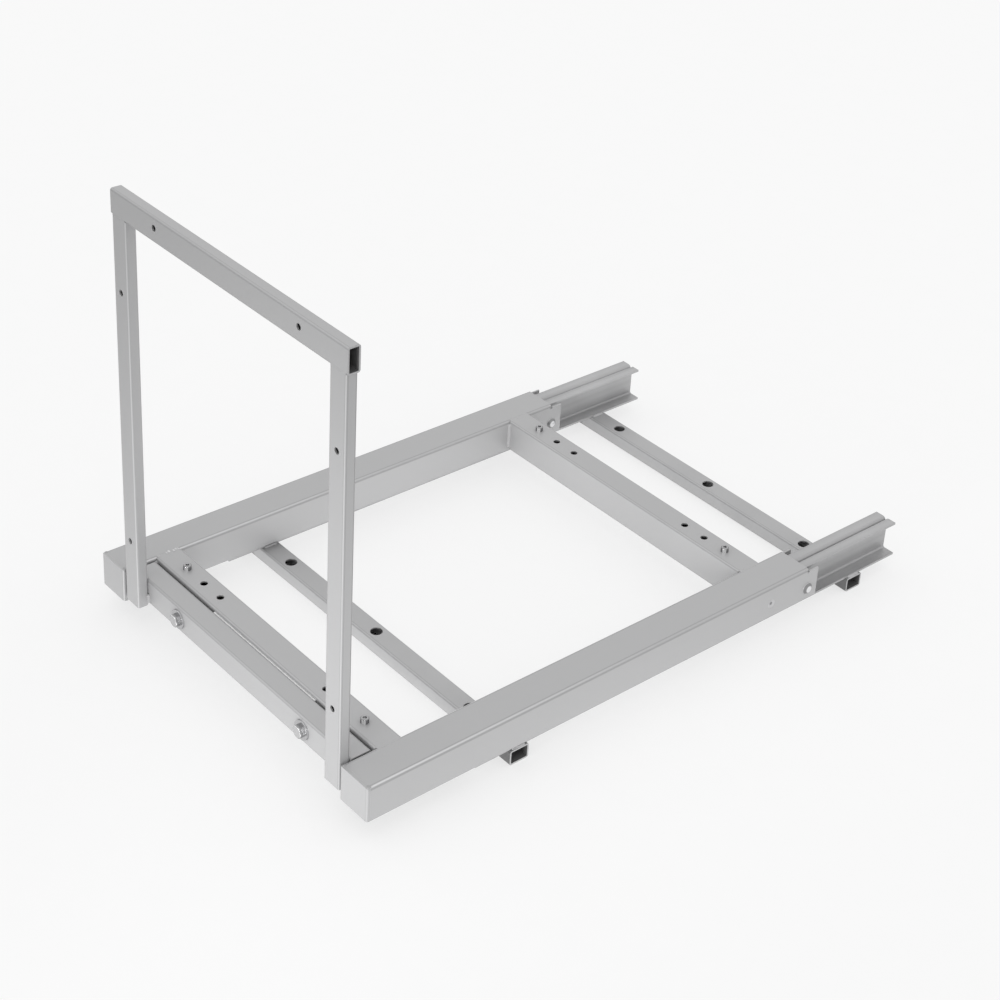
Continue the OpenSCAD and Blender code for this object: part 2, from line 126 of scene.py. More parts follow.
away.operation = "LENGTH"
bounce = node(tree, "MapRange", Value=away.outputs["Value"], From_Min=board_radius - board_fade,
              From_Max=board_radius + board_fade, To_Min=board_bounce[0], To_Max=board_bounce[1])
# A glow round shine_centre that only bounced light sees: a painted fill light that brightens the frame's
# undersides.
aside = node(tree, "VectorMath", i0=coords, i1=shine_centre)
aside.operation = "DISTANCE"
shine = node(tree, "MapRange", Value=aside.outputs["Value"], From_Min=shine_radius,
             From_Max=shine_reach, To_Min=board_shine, To_Max=0.0)
plain = node(tree, "AddShader", i0=node(tree, "BsdfDiffuse", Color=bounce.outputs[0]).outputs[0],
             i1=node(tree, "Emission", Strength=shine.outputs[0]).outputs[0])
path = node(tree, "LightPath")
either = math_node(tree, "MAXIMUM", path.outputs["Is Camera Ray"], path.outputs["Is Glossy Ray"])
either = math_node(tree, "MAXIMUM", either, path.outputs["Is Transmission Ray"])
blend = node(tree, "MixShader", Fac=either, i1=plain.outputs[0], i2=lit.outputs[0])
node(tree, "OutputMaterial", Surface=blend.outputs[0])
corners = [(-floor_half, -floor_half), (floor_half, -floor_half), (floor_half, floor_half),
           (-floor_half, floor_half)]
floor = mesh_object("studio_floor", [(x, y, floor_drop) for x, y in corners], [(0, 1, 2, 3)], board,
                    smooth=False)

# Light: an even white room, a low soft lamp in front and a narrow one on the right. Both
# are aimed at the front frame's foot, so the upper left and the rear end stay duller.
world = bpy.data.worlds.new("white_room")
bpy.context.scene.world = world
world.use_nodes = True
tree = world.node_tree
tree.nodes.clear()
room = node(tree, "Background", Color=(1, 1, 1, 1), Strength=1.0)
node(tree, "OutputWorld", Surface=room.outputs[0])


def soft_spot(name, place, target, radius, power, cone):
    lamp = bpy.data.lights.new(name, "SPOT")
    lamp.energy = power
    lamp.shadow_soft_size = radius
    lamp.spot_size = math.radians(cone)
    lamp.spot_blend = 1.0
    made = bpy.data.objects.new(name, lamp)
    bpy.context.scene.collection.objects.link(made)
    made.location = place
    made.rotation_euler = (Vector(target) - Vector(place)).to_track_quat("-Z", "Y").to_euler()


soft_spot("front_lamp", place=(0.45, -1.45, 0.16), target=(0.22, -0.35, 0.17), radius=0.14, power=30, cone=36)
soft_spot("side_lamp", place=(0.95, -0.95, 0.25), target=(0.0, -0.36, 0.12), radius=0.1, power=4.5, cone=24)


# Base tubes: two rectangular steel tubes, sawn off, drilled for the floor screws and sprayed silver grey.
# Sawn edges and hole rims are rubbed a little brighter, the inner faces near the open ends are darker, and
# the ends get painted shade from the rails above them, with a little weld burn.
def group(name, inputs, outputs):
    made = bpy.data.node_groups.new(name, "ShaderNodeTree")
    for kind, names in (("INPUT", inputs), ("OUTPUT", outputs)):
        for label, (socket, value) in names.items():
            item = made.interface.new_socket(label, in_out=kind, socket_type="NodeSocket" + socket)
            if value is not None:
                item.default_value = value
    return made, made.nodes.new("NodeGroupInput"), made.nodes.new("NodeGroupOutput")


# Where a small bevel would turn the surface's normal, the edge is rubbed, in patches.
edge_gain = 6.0
patch_scale = 120.0
patch_contrast, patch_share = 3.0, 0.6
rubbed_edges, given, result = group(
    "rubbed_edges", {"Radius": ("Float", 0.0004), "Patchiness": ("Float", 0.5), "Vector": ("Vector", None)},
    {"Mask": ("Float", None), "Normal": ("Vector", None)})
rounded = rubbed_edges.nodes.new("ShaderNodeBevel")
rounded.samples = 4
rubbed_edges.links.new(given.outputs["Radius"], rounded.inputs["Radius"])
true_normal = rubbed_edges.nodes.new("ShaderNodeNewGeometry").outputs["Normal"]
turned = rubbed_edges.nodes.new("ShaderNodeVectorMath")
turned.operation = "DOT_PRODUCT"
rubbed_edges.links.new(rounded.outputs[0], turned.inputs[0])
rubbed_edges.links.new(true_normal, turned.inputs[1])
sharp = math_node(rubbed_edges, "SUBTRACT", 1.0, turned.outputs["Value"])
sharp = math_node(rubbed_edges, "MULTIPLY", sharp, edge_gain, clamp=True)
patches = node(rubbed_edges, "TexNoise", Vector=given.outputs["Vector"], Scale=patch_scale, Detail=3.0)
patchy = math_node(rubbed_edges, "SUBTRACT", patches.outputs["Fac"], given.outputs["Patchiness"])
patchy = math_node(rubbed_edges, "MULTIPLY_ADD", patchy, patch_contrast, patch_share, clamp=True)
rubbed_edges.links.new(math_node(rubbed_edges, "MULTIPLY", sharp, patchy), result.inputs["Mask"])
rubbed_edges.links.new(rounded.outputs[0], result.inputs["Normal"])

# Metal flake, orange skin and soft clouds of the sprayed lacquer.
flake_scale, peel_scale, cloud_scale = 2600.0, 420.0, 14.0
gloss_swing, gloss_base = 0.16, 0.34
lacquer_skin, given, result = group(
    "lacquer_skin", {"Vector": ("Vector", None), "Flake": ("Float", 0.05), "Cloud": ("Float", 0.04)},
    {"Shade": ("Float", None), "Roughness": ("Float", None), "Height": ("Float", None)})
flake = node(lacquer_skin, "TexNoise", Vector=given.outputs["Vector"], Scale=flake_scale, Detail=2.0)
peel = node(lacquer_skin, "TexNoise", Vector=given.outputs["Vector"], Scale=peel_scale, Detail=2.0)
cloud = node(lacquer_skin, "TexNoise", Vector=given.outputs["Vector"], Scale=cloud_scale, Detail=4.0)
flecks = math_node(lacquer_skin, "SUBTRACT", flake.outputs["Fac"], 0.5)
flecks = math_node(lacquer_skin, "MULTIPLY", flecks, given.outputs["Flake"])
drift = math_node(lacquer_skin, "SUBTRACT", cloud.outputs["Fac"], 0.5)
drift = math_node(lacquer_skin, "MULTIPLY", drift, given.outputs["Cloud"])
shade = math_node(lacquer_skin, "ADD", math_node(lacquer_skin, "ADD", flecks, drift), 1.0)
lacquer_skin.links.new(shade, result.inputs["Shade"])
gloss = math_node(lacquer_skin, "MULTIPLY_ADD", cloud.outputs["Fac"], gloss_swing, gloss_base)
lacquer_skin.links.new(gloss, result.inputs["Roughness"])
lacquer_skin.links.new(peel.outputs["Fac"], result.inputs["Height"])

# Bands along each bend, across the quarter turn between two faces: where a band rises, is full, stays full
# and ends, its strength, and the input that sets it. They are painted light: the Line bands paint dark lines
# of shade along a bend's edges, the Crest band a highlight along its middle.
bend_bands = ((0.01, 0.05, 0.16, 0.28, -0.8, "Line"),
              (0.18, 0.34, 0.46, 0.62, 1.0, "Crest"),
              (0.52, 0.68, 0.90, 0.98, -1.0, "Line"))
painted_bend_light, given, result = group(
    "painted_bend_light", {"Line": ("Float", 0.2), "Crest": ("Float", 0.1)}, {"Shade": ("Float", None)})
facing = node(painted_bend_light, "SeparateXYZ",
              Vector=painted_bend_light.nodes.new("ShaderNodeNewGeometry").outputs["Normal"])
across, along, up = (math_node(painted_bend_light, "ABSOLUTE", facing.outputs[axis]) for axis in "XYZ")
level = math_node(painted_bend_light, "MAXIMUM", across, along)
right_angle = math.pi / 2
shade = 1.0
for turn in (math_node(painted_bend_light, "ARCTAN2", level, up),
             math_node(painted_bend_light, "ARCTAN2", across, along)):
    part = math_node(painted_bend_light, "DIVIDE", turn, right_angle)
    for rise, full, stay, end, strength, amount in bend_bands:
        start = node(painted_bend_light, "MapRange", Value=part, From_Min=rise, From_Max=full)
        stop = node(painted_bend_light, "MapRange", Value=part, From_Min=end, From_Max=stay)
        band = math_node(painted_bend_light, "MULTIPLY", start.outputs[0], stop.outputs[0])
        band = math_node(painted_bend_light, "MULTIPLY", band, given.outputs[amount])
        shade = math_node(painted_bend_light, "MULTIPLY_ADD", band, strength, shade)
painted_bend_light.links.new(shade, result.inputs["Shade"])


def group_node(tree, shared, **sockets):
    made = tree.nodes.new("ShaderNodeGroup")
    made.node_tree = shared
    for name, value in sockets.items():
        if isinstance(value, bpy.types.NodeSocket):
            tree.links.new(value, made.inputs[name])
        else:
            made.inputs[name].default_value = value
    return made


def scaled_colour(tree, colour, factor):
    mixed = tree.nodes.new("ShaderNodeVectorMath")
    mixed.operation = "SCALE"
    mixed.inputs[0].default_value = colour
    tree.links.new(factor, mixed.inputs["Scale"])
    return mixed.outputs[0]


def blended(tree, mask, low, high):
    mix = tree.nodes.new("ShaderNodeMix")
    mix.data_type = "RGBA"
    tree.links.new(mask, mix.inputs["Factor"])
    for socket, value in ((mix.inputs[6], low), (mix.inputs[7], high)):
        if isinstance(value, bpy.types.NodeSocket):
            tree.links.new(value, socket)
        else:
            socket.default_value = (*value, 1)
    return mix.outputs[2]


def times(colour, factor):
    return [min(1, part * factor) for part in colour]


# A socket with the distance from a box's middle along one axis, and half the box's length.
def off_middle(tree, coords, box, axis):
    place = node(tree, "SeparateXYZ", Vector=coords).outputs["XYZ"[axis]]
    off = math_node(tree, "SUBTRACT", place, (box[0][axis] + box[1][axis]) / 2)
    return math_node(tree, "ABSOLUTE", off), (box[1][axis] - box[0][axis]) / 2


# One on a tube's inner faces near its open ends, nought elsewhere.
def inside_tube(tree, coords, box, wall, mouth=0.04, play=0.0001):
    inside = 1.0
    for axis in (1, 2):
        off, half = off_middle(tree, coords, box, axis)
        within = math_node(tree, "LESS_THAN", off, half - wall + play)
        inside = math_node(tree, "MULTIPLY", within, inside)
    off, half = off_middle(tree, coords, box, 0)
    near_end = math_node(tree, "GREATER_THAN", off, half - mouth)
    return math_node(tree, "MULTIPLY", near_end, inside)


# Rises towards a tube's ends, most on its front face and not at all on the sawn cuts. It marks painted shade
# under the rails, with a little weld burn.
def end_shade_and_burn(tree, coords, box, reach, full=0.6, least=0.35, most=0.9):
    off, half = off_middle(tree, coords, box, 0)
    near = node(tree, "MapRange", Value=off, From_Min=half - reach, From_Max=half - reach * full)
    facing = node(tree, "SeparateXYZ", Vector=node(tree, "NewGeometry").outputs["Normal"])
    forward = math_node(tree, "MULTIPLY", facing.outputs["Y"], -1.0)
    forward = node(tree, "MapRange", Value=forward, From_Min=0.3, From_Max=0.9, To_Min=least, To_Max=most)
    side = math_node(tree, "ABSOLUTE", facing.outputs["X"])
    not_cut = math_node(tree, "LESS_THAN", side, 0.5)
    shade_and_burn = math_node(tree, "MULTIPLY", near.outputs[0], forward.outputs[0])
    return math_node(tree, "MULTIPLY", shade_and_burn, not_cut)


peel_strength, peel_height = 0.05, 0.0003
rubbed_shade, inner_dark_factor, shade_and_burn_factor = 1.35, 0.4, 0.22


def silver_lacquer(name, colour, cloud=0.04, metallic=0.25, wear=0.0004, line=0.2, crest=0.1,
                   crest_front=None, crest_fade=0.3, crest_rear=0.03, hollow=None, wall=0.0015,
                   shade_and_burn=None):
    material, tree = empty_material(name)
    coords = node(tree, "TexCoord").outputs["Object"]
    skin = group_node(tree, lacquer_skin, Vector=coords, Cloud=cloud)
    # The bends' painted highlight fades from crest at crest_front to crest_rear further back, as a lamp's
    # light falls off.
    if crest_front is not None:
        place = node(tree, "SeparateXYZ", Vector=coords)
        crest = node(tree, "MapRange", Value=place.outputs["Y"], From_Min=crest_front,
                     From_Max=crest_front + crest_fade, To_Min=crest, To_Max=crest_rear).outputs[0]
    bends = group_node(tree, painted_bend_light, Line=line, Crest=crest)
    shade = math_node(tree, "MULTIPLY", skin.outputs["Shade"], bends.outputs["Shade"])
    edges = group_node(tree, rubbed_edges, Vector=coords, Radius=wear)
    bump = node(tree, "Bump", Strength=peel_strength, Distance=peel_height,
                Height=skin.outputs["Height"], Normal=edges.outputs["Normal"])
    paint = scaled_colour(tree, colour, shade)
    paint = blended(tree, edges.outputs["Mask"], paint, times(colour, rubbed_shade))
    # Darker inner faces near the open ends.
    if hollow:
        paint = blended(tree, inside_tube(tree, coords, hollow, wall), paint, times(colour, inner_dark_factor))
    # Painted shade under the rails at the tube's ends, with a little weld burn.
    if shade_and_burn:
        paint = blended(tree, end_shade_and_burn(tree, coords, hollow, shade_and_burn), paint, times(colour, shade_and_burn_factor))
    shader = node(tree, "BsdfPrincipled", Base_Color=paint, Metallic=metallic,
                  Roughness=skin.outputs["Roughness"], Normal=bump.outputs[0])
    node(tree, "OutputMaterial", Surface=shader.outputs[0])
    return material


def dress(material, *names):
    for name in names:
        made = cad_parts[name]
        if not made.material_slots:
            made.data.materials.append(material)
        for slot in made.material_slots:
            slot.material = material


silver = (0.42, 0.42, 0.424)
shade_and_burn_reach = 0.02
for name in ("front_base_tube", "rear_base_tube"):
    made = silver_lacquer(name + "_lacquer", silver, cloud=0.22, hollow=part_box(name), shade_and_burn=shade_and_burn_reach)
    dress(made, name)

# Rails: each is two cold-rolled C-sections welded back to back. They are sprayed with the
# rest, and the tracks keep faint rolling lines along their length.
line_stretch = 0.01
rail_rubbed_shade = 1.3
rolled_lines, given, result = group(
    "rolled_lines", {"Vector": ("Vector", None), "Pitch": ("Float", 900.0)}, {"Line": ("Float", None)})
stretched = rolled_lines.nodes.new("ShaderNodeVectorMath")
stretched.operation = "MULTIPLY"
rolled_lines.links.new(given.outputs["Vector"], stretched.inputs[0])
stretched.inputs[1].default_value = (1, line_stretch, 1)
streaks = node(rolled_lines, "TexNoise", Vector=stretched.outputs[0], Scale=given.outputs["Pitch"],
               Detail=3.0)
rolled_lines.links.new(streaks.outputs["Fac"], result.inputs["Line"])


def rolled_lacquer(name, colour, cloud=0.45, metallic=0.3, band_pitch=150.0, line_depth=0.08,
                   band_depth=0.5, band_lift=0.03):
    material, tree = empty_material(name)
    coords = node(tree, "TexCoord").outputs["Object"]
    skin = group_node(tree, lacquer_skin, Vector=coords, Cloud=cloud)
    lines = group_node(tree, rolled_lines, Vector=coords)
    bands = group_node(tree, rolled_lines, Vector=coords, Pitch=band_pitch)
    edges = group_node(tree, rubbed_edges, Vector=coords)
    streak = math_node(tree, "MULTIPLY_ADD", lines.outputs["Line"], line_depth, 1 - line_depth / 2)
    broad = math_node(tree, "MULTIPLY_ADD", bands.outputs["Line"], band_depth,
                      1 + band_lift - band_depth / 2)
    shade = math_node(tree, "MULTIPLY", math_node(tree, "MULTIPLY", skin.outputs["Shade"], streak), broad)
    height = math_node(tree, "ADD", skin.outputs["Height"], lines.outputs["Line"])
    bump = node(tree, "Bump", Strength=peel_strength, Distance=peel_height, Height=height,
                Normal=edges.outputs["Normal"])
    paint = scaled_colour(tree, colour, shade)
    paint = blended(tree, edges.outputs["Mask"], paint, times(colour, rail_rubbed_shade))
    shader = node(tree, "BsdfPrincipled", Base_Color=paint, Metallic=metallic,
                  Roughness=skin.outputs["Roughness"], Normal=bump.outputs[0])
    node(tree, "OutputMaterial", Surface=shader.outputs[0])
    return material


rail_silver = (0.39, 0.39, 0.394)
dress(rolled_lacquer("rail_lacquer", rail_silver), "left_rail_outer", "left_rail_inner",
      "right_rail_inner", "right_rail_outer")


# Rail welds: short rippled beads of weld metal, where the rails' bottom flanges cross the
# base tubes. They are sprayed over with the frame.
def weld_run(vertices, faces, start, end, leg_a, leg_b, size, seed):
    # The legs point along the two faces that the bead joins, away from their corner.
    chance = random.Random(seed)
    start, end, leg_a, leg_b = (Vector(v) for v in (start, end, leg_a, leg_b))
    length = (end - start).length
    station_step = 0.0004
    ripple_pitch = 0.0011
    swell_pitch = 0.003
    swell_low, swell_high = 0.85, 1.12
    end_round = 0.0016
    end_start = 0.0003
    ripple_depth = 0.07
    ripple_bow = 0.45
    fullness = 0.55
    arc_steps = 7
    sunk = 0.0004
    stations = max(10, int(length / station_step))
    swells = [chance.uniform(swell_low, swell_high) for _ in range(int(length / swell_pitch) + 3)]
    base = len(vertices)
    for i in range(stations + 1):
        along = length * i / stations
        taper = min(1, (along + end_start) / end_round, (length - along + end_start) / end_round) ** 0.5
        place = along / swell_pitch
        swell = swells[int(place)] * (1 - place % 1) + swells[int(place) + 1] * (place % 1)
        middle_point = start.lerp(end, i / stations)
        vertices.append(middle_point - (leg_a + leg_b) * sunk)
        vertices.append(middle_point + leg_a * size * taper * swell - leg_b * sunk)
        for k in range(arc_steps):
            turn = math.pi / 2 * k / (arc_steps - 1)
            bow = math.sin(2 * turn)
            phase = along / ripple_pitch + ripple_bow * bow
            ripple = 1 + ripple_depth * (1 - (phase % 1)) * bow
            flat = 1 / (math.cos(turn) + math.sin(turn))
            reach = size * taper * swell * ripple * ((1 - fullness) * flat + fullness)
            vertices.append(middle_point + leg_a * reach * math.cos(turn) + leg_b * reach * math.sin(turn))
        vertices.append(middle_point + leg_b * size * taper * swell - leg_a * sunk)
    ring = arc_steps + 3
    flip = (end - start).dot(leg_a.cross(leg_b)) < 0
    for i in range(stations):
        for k in range(ring):
            a = base + i * ring + k
            b = base + i * ring + (k + 1) % ring
            quad = (a, b, b + ring, a + ring)
            faces.append(quad[::-1] if flip else quad)
    last = base + stations * ring
    for first, turn_over in ((base, not flip), (last, flip)):
        cap = [first + k for k in range(ring)]
        faces.append(tuple(cap[::-1] if turn_over else cap))


bead_lacquer = silver_lacquer("weld_lacquer", silver, line=0.0, crest=0.0)
vertices, faces = [], []
rail_bead = 0.0018
bead_inset = 0.003
for side in ("left", "right"):
    outer_low, outer_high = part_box(f"{side}_rail_outer")
    inner_low, inner_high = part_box(f"{side}_rail_inner")
    flange_edges = (min(outer_low[0], inner_low[0]), max(outer_high[0], inner_high[0]))
    for tube in ("front_base_tube", "rear_base_tube"):
        low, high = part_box(tube)
        for edge, way in zip(flange_edges, (-1, 1)):
            weld_run(vertices, faces, (edge, low[1] + bead_inset, high[2]),
                     (edge, high[1] - bead_inset, high[2]), (way, 0, 0), (0, 0, 1), rail_bead,
                     f"{side}{tube}{way}")
rail_welds = mesh_object("rail_welds", vertices, faces, bead_lacquer)
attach(rail_welds, "base")

# Front axles and stop pins: turned steel pins through the rails, zinc plated and riveted
# over at both ends. The lathe left fine rings on their faces.
turned_rings, given, result = group(
    "turned_rings", {"Vector": ("Vector", None), "Centre": ("Vector", None), "Pitch": ("Float", 2500.0)},
    {"Ring": ("Float", None), "Radius": ("Float", None)})
offset = turned_rings.nodes.new("ShaderNodeVectorMath")
offset.operation = "SUBTRACT"
turned_rings.links.new(given.outputs["Vector"], offset.inputs[0])
turned_rings.links.new(given.outputs["Centre"], offset.inputs[1])
apart = node(turned_rings, "SeparateXYZ", Vector=offset.outputs[0])
out = math_node(turned_rings, "ADD", math_node(turned_rings, "POWER", apart.outputs["Y"], 2.0),
                math_node(turned_rings, "POWER", apart.outputs["Z"], 2.0))
out = math_node(turned_rings, "SQRT", out)
turned_rings.links.new(out, result.inputs["Radius"])
ring_place = node(turned_rings, "CombineXYZ", X=out, Y=apart.outputs["X"])
rings = node(turned_rings, "TexNoise", Vector=ring_place.outputs[0], Scale=given.outputs["Pitch"],
             Detail=2.0)
turned_rings.links.new(rings.outputs["Fac"], result.inputs["Ring"])

plated_edge = 0.0003
ring_swing, ring_base = 0.12, 0.9
tarnish_scale = 260.0
tarnish_contrast, tarnish_shift = 1.6, -0.6
tarnished_shade, rubbed_zinc_shade, dark_ring_shade = 0.8, 1.2, 0.2
dark_ring_rise, dark_ring_fall = 0.0007, 0.0003


# Shoulder is the inner and outer radius of a ring painted darker: painted shade on a domed head's steep edge,
# a dark disc on a punch mark.
def turned_zinc(name, colour, centre, roughness=(0.22, 0.42), shoulder=None, dark_ring_depth=0.85):
    material, tree = empty_material(name)
    coords = node(tree, "TexCoord").outputs["Object"]
    rings = group_node(tree, turned_rings, Vector=coords, Centre=centre)
    edges = group_node(tree, rubbed_edges, Vector=coords, Radius=plated_edge)
    tarnish = node(tree, "TexNoise", Vector=coords, Scale=tarnish_scale, Detail=3.0)
    shade = math_node(tree, "MULTIPLY_ADD", rings.outputs["Ring"], ring_swing, ring_base)
    plated = scaled_colour(tree, colour, shade)
    tarnished = math_node(tree, "MULTIPLY_ADD", tarnish.outputs["Fac"], tarnish_contrast, tarnish_shift,
                          clamp=True)
    dull = blended(tree, tarnished, plated, times(colour, tarnished_shade))
    bright = blended(tree, edges.outputs["Mask"], dull, times(colour, rubbed_zinc_shade))
    if shoulder:
        inner, outer = shoulder
        radius = rings.outputs["Radius"]
        rise = node(tree, "MapRange", Value=radius, From_Min=inner - dark_ring_rise, From_Max=inner)
        fall = node(tree, "MapRange", Value=radius, From_Min=outer + dark_ring_fall, From_Max=outer)
        dark_ring = math_node(tree, "MULTIPLY", rise.outputs[0], fall.outputs[0])
        dark_ring = math_node(tree, "MULTIPLY", dark_ring, dark_ring_depth)
        bright = blended(tree, dark_ring, bright, times(colour, dark_ring_shade))
    gloss = node(tree, "MapRange", Value=rings.outputs["Ring"], To_Min=roughness[0], To_Max=roughness[1])
    bump = node(tree, "Bump", Strength=0.12, Distance=0.0001, Height=rings.outputs["Ring"],
                Normal=edges.outputs["Normal"])
    shader = node(tree, "BsdfPrincipled", Base_Color=bright, Metallic=1.0,
                  Roughness=gloss.outputs[0], Normal=bump.outputs[0])
    node(tree, "OutputMaterial", Surface=shader.outputs[0])
    return material


def middle(name):
    low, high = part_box(name)
    return tuple((Vector(low) + Vector(high)) / 2)


zinc = (0.62, 0.62, 0.63)
for name in ("left_front_axle", "right_front_axle", "left_stop_pin", "right_stop_pin"):
    dress(turned_zinc(name + "_zinc", zinc, middle(name)), name)


# Stop sleeves and buffers: black rubber, cut from round stock, with a dull bloom. The
# sleeves are pushed onto the stop pins, the buffers are glued behind the end plates.
def black_rubber(name, colour, grain_scale=1400.0, bloom_scale=180.0, bloom_shade=2.2,
                 roughness=(0.55, 0.8)):
    material, tree = empty_material(name)
    coords = node(tree, "TexCoord").outputs["Object"]
    grain = node(tree, "TexNoise", Vector=coords, Scale=grain_scale, Detail=3.0)
    bloom = node(tree, "TexNoise", Vector=coords, Scale=bloom_scale, Detail=4.0)
    shade = blended(tree, bloom.outputs["Fac"], colour, times(colour, bloom_shade))
    gloss = node(tree, "MapRange", Value=bloom.outputs["Fac"], To_Min=roughness[0], To_Max=roughness[1])
    bump = node(tree, "Bump", Strength=0.2, Distance=0.0002, Height=grain.outputs["Fac"])
    shader = node(tree, "BsdfPrincipled", Base_Color=shade, Roughness=gloss.outputs[0],
                  Normal=bump.outputs[0])
    node(tree, "OutputMaterial", Surface=shader.outputs[0])
    return material


rubber = (0.02, 0.02, 0.022)
dress(black_rubber("stop_rubber", rubber), "left_stop_sleeves", "right_stop_sleeves", "left_buffer",
      "right_buffer")

# Rollers: natural nylon, moulded, with a sunk ring on both faces, turning on the axles.
# The treads carry a thin grey polish from the steel they run on.
dark_nylon, light_nylon = (0.66, 0.65, 0.60), (0.76, 0.75, 0.71)
tread_polish = (0.38, 0.38, 0.37)
tread_depth = 0.0012
mould_pitch = 1600.0
milk_scale = 160.0
glow_depth, glow_share = (0.002, 0.002, 0.0015), 0.15


def nylon(name, centre, radius, roughness=(0.32, 0.5)):
    material, tree = empty_material(name)
    coords = node(tree, "TexCoord").outputs["Object"]
    rings = group_node(tree, turned_rings, Vector=coords, Centre=centre, Pitch=mould_pitch)
    tread = node(tree, "MapRange", Value=rings.outputs["Radius"], From_Min=radius - tread_depth,
                 From_Max=radius)
    milk = node(tree, "TexNoise", Vector=coords, Scale=milk_scale, Detail=3.0)
    body = blended(tree, milk.outputs["Fac"], dark_nylon, light_nylon)
    grime = math_node(tree, "MULTIPLY", tread.outputs[0], rings.outputs["Ring"])
    worn = blended(tree, grime, body, tread_polish)
    gloss = node(tree, "MapRange", Value=rings.outputs["Ring"], To_Min=roughness[0], To_Max=roughness[1])
    bump = node(tree, "Bump", Strength=0.1, Distance=0.0002, Height=rings.outputs["Ring"])
    shader = node(tree, "BsdfPrincipled", Base_Color=worn, Roughness=gloss.outputs[0],
                  Normal=bump.outputs[0])
    shader.inputs["Subsurface Weight"].default_value = glow_share
    shader.inputs["Subsurface Radius"].default_value = glow_depth
    node(tree, "OutputMaterial", Surface=shader.outputs[0])
    return material


for side in ("left", "right"):
    for kind in ("front", "load", "lift"):
        pair = [f"{side}_{kind}_roller_{part}" for part in ("outer", "inner")]
        low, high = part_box(pair[0])
        made = nylon(f"{side}_{kind}_roller_nylon", middle(pair[0]), (high[2] - low[2]) / 2)
        dress(made, *pair)

# Channels and end plates: folded steel sheet over the rails, closed at the front by a
# welded plate, all sprayed together with the crossbars.
# Their bends get painted dark lines and a painted highlight; on the channels the highlight fades towards the
# rear, and the left end plate's is much stronger than the right's.
channel_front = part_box("right_end_plate")[0][1]
dress(silver_lacquer("channel_lacquer", silver, cloud=0.05, line=0.24, crest=0.5,
                     crest_front=channel_front), "left_channel", "right_channel")
dress(silver_lacquer("left_end_plate_lacquer", silver, line=0.12, crest=0.4), "left_end_plate")
dress(silver_lacquer("right_end_plate_lacquer", silver, line=0.1, crest=0.06), "right_end_plate")


# End plate welds: ground flush, but a dab of weld metal with a small crater is left in each
# top corner, where the plate meets the channel's bend.
def weld_dab(vertices, faces, centre, radius, rise, seed):
    chance = random.Random(seed)
    rings, around = 7, 18
    crater_depth, crater_width = 0.65, 0.28
    least_wobble, most_wobble = 0.88, 1.12
    base = len(vertices)
    wobble = [chance.uniform(least_wobble, most_wobble) for _ in range(around)]
    cx, cy, cz = centre
    vertices.append((cx, cy, cz + rise * (1 - crater_depth)))
    for i in range(1, rings + 1):
        part = i / rings
        crater = crater_depth * math.exp(-(part / crater_width) ** 2)
        lift = rise * (math.cos(math.pi / 2 * part) - crater)
        for k in range(around):
            turn = 2 * math.pi * k / around
            reach = radius * part * (1 + (wobble[k] - 1) * part)
            vertices.append((cx + reach * math.cos(turn), cy + reach * math.sin(turn), cz + lift))
    for k in range(around):
        following = (k + 1) % around
        faces.append((base, base + 1 + k, base + 1 + following))
        for i in range(rings - 1):
            inner, outer = base + 1 + i * around, base + 1 + (i + 1) * around
            faces.append((inner + k, outer + k, outer + following, inner + following))
    rim = base + 1 + (rings - 1) * around
    floor_ring = len(vertices)
    for k in range(around):
        x, y, _ = vertices[rim + k]
        vertices.append((x, y, cz - rise))
    for k in range(around):
        following = (k + 1) % around
        faces.append((rim + k, floor_ring + k, floor_ring + following, rim + following))
    faces.append(tuple(floor_ring + k for k in range(around))[::-1])


vertices, faces = [], []
dab_radius = 0.0022
dab_rise = 0.0008
dab_inset = 0.0028
dab_sunk = 0.0004
dab_silver = (0.36, 0.36, 0.364)
for side in ("left", "right"):
    low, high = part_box(f"{side}_end_plate")
    for x in (low[0] + dab_inset, high[0] - dab_inset):
        weld_dab(vertices, faces, (x, low[1] + dab_inset, high[2] - dab_sunk), dab_radius, dab_rise,
                 f"{side}{x:.3f}")
end_plate_welds = mesh_object("end_plate_welds", vertices, faces, silver_lacquer(
    "end_plate_weld_lacquer", dab_silver, line=0.0, crest=0.0))
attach(end_plate_welds, "carriage")

# Crossbars: two lengths of rectangular steel tube, drilled for the basket's feet, welded
# between the channels and sprayed with them.
# Their bends get painted dark lines of shade.
dress(silver_lacquer("crossbar_lacquer", silver, cloud=0.05, line=0.22, crest=0.0), "front_crossbar",
      "rear_crossbar")


